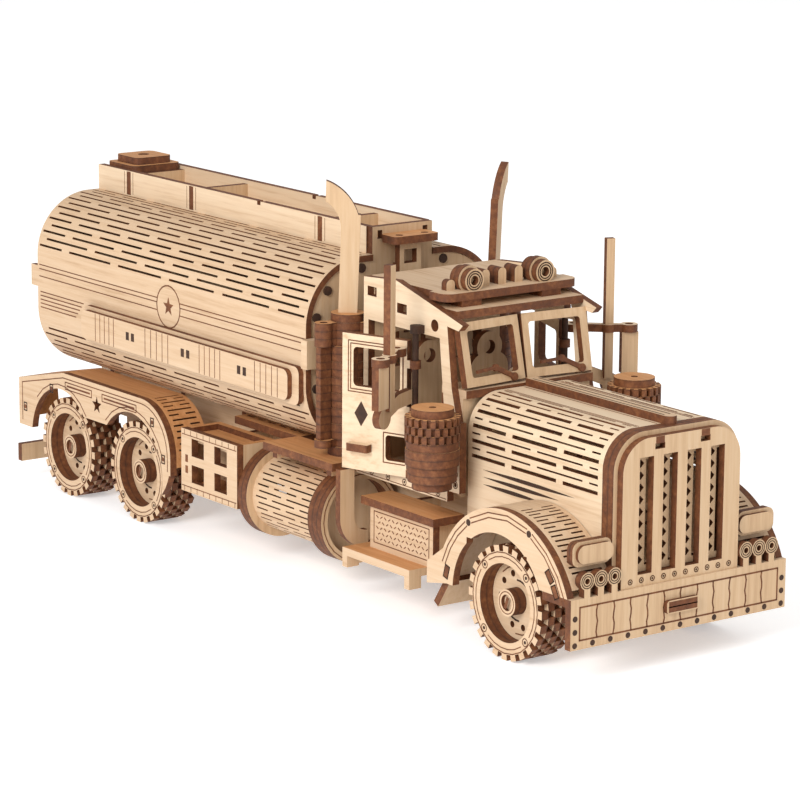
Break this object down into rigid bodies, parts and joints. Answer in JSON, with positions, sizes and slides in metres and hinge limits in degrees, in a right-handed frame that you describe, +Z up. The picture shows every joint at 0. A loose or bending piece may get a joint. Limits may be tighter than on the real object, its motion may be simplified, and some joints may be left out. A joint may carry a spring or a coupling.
{
  "type": "wooden tanker truck puzzle model",
  "caption": "Laser-cut plywood jigsaw model of a tanker truck with slitted bent skins, rolling wheelsets and hinged cab doors.",
  "frame": {"origin": "on the ground, midway between the truck's front and rear ends and midway between its sides", "axes": "+X to the front of the truck, +Y to its left side, +Z up"},
  "size_m": [0.251, 0.083, 0.1051],
  "materials": {
    "birch_ply": "satin laser-cut birch plywood, pale faces",
    "bent_ply": "thin bent plywood with rows of slits",
    "tread_ply": "stacked plywood layers showing browned laser-cut edges",
    "burnt_ply": "browned laser-cut plywood"
  },
  "bodies": {
    "truck": {"chassis_rails": "birch_ply", "cross_members": "birch_ply", "tank_saddles": "birch_ply", "deck_plates": "birch_ply", "rear_bar": "birch_ply", "rear_fender_sides": "birch_ply", "rear_fender_tops": "bent_ply", "rear_fender_curves": "bent_ply", "tank_shell": "bent_ply", "tank_bulkheads": "birch_ply", "tank_pegs": "burnt_ply", "tank_side_tabs": "birch_ply", "tank_side_boxes": "birch_ply", "rack_walls": "birch_ply", "rack_dividers": "birch_ply", "hatches": "birch_ply", "ladder": "birch_ply", "toolbox_sides": "birch_ply", "toolbox_panels": "birch_ply", "drum_rings": "tread_ply", "drum_barrels": "bent_ply", "steps": "birch_ply", "cab_sides": "birch_ply", "cab_panels": "birch_ply", "sill_strips": "birch_ply", "windshield_frames": "birch_ply", "wipers": "burnt_ply", "roof_plates": "birch_ply", "roof_lamps": "birch_ply", "roof_horns": "birch_ply", "seats": "birch_ply", "dashboard": "birch_ply", "steering_wheel": "birch_ply", "hinge_pins": "burnt_ply", "hood_cover": "bent_ply", "hood_formers": "birch_ply", "hood_ridge": "birch_ply", "grille": "birch_ply", "grille_lattice": "birch_ply", "bumper": "birch_ply", "bumper_shelf": "birch_ply", "bumper_lamps": "birch_ply", "tow_hook": "birch_ply", "headlights": "birch_ply", "front_fender_sides": "birch_ply", "front_fender_covers": "bent_ply", "mud_flaps": "birch_ply", "air_cleaners": "tread_ply", "mufflers": "tread_ply", "exhaust_stacks": "birch_ply"},
    "right_door": {"right_door": "birch_ply", "right_mirror": "birch_ply"},
    "left_door": {"left_door": "birch_ply", "left_mirror": "birch_ply"},
    "front_wheelset": {"front_wheels": "tread_ply", "front_axle": "birch_ply"},
    "middle_wheelset": {"middle_wheels": "tread_ply", "middle_axle": "birch_ply"},
    "rear_wheelset": {"rear_wheels": "tread_ply", "rear_axle": "birch_ply"}
  },
  "joints": [
    {"name": "front_axle_spin", "type": "hinge", "parent": "truck", "child": "front_wheelset", "pos_m": [0.097, 0, 0.014], "axis": [0, 1, 0], "continuous": true},
    {"name": "middle_axle_spin", "type": "hinge", "parent": "truck", "child": "middle_wheelset", "pos_m": [-0.065, 0, 0.014], "axis": [0, 1, 0], "continuous": true},
    {"name": "rear_axle_spin", "type": "hinge", "parent": "truck", "child": "rear_wheelset", "pos_m": [-0.1016, 0, 0.014], "axis": [0, 1, 0], "continuous": true},
    {"name": "right_door_hinge", "type": "hinge", "parent": "truck", "child": "right_door", "pos_m": [0.051, -0.0236, 0.06], "axis": [0, 0, 1], "range_deg": [-20, 12]},
    {"name": "left_door_hinge", "type": "hinge", "parent": "truck", "child": "left_door", "pos_m": [0.051, 0.0236, 0.06], "axis": [0, 0, -1], "range_deg": [-20, 12]}
  ]
}
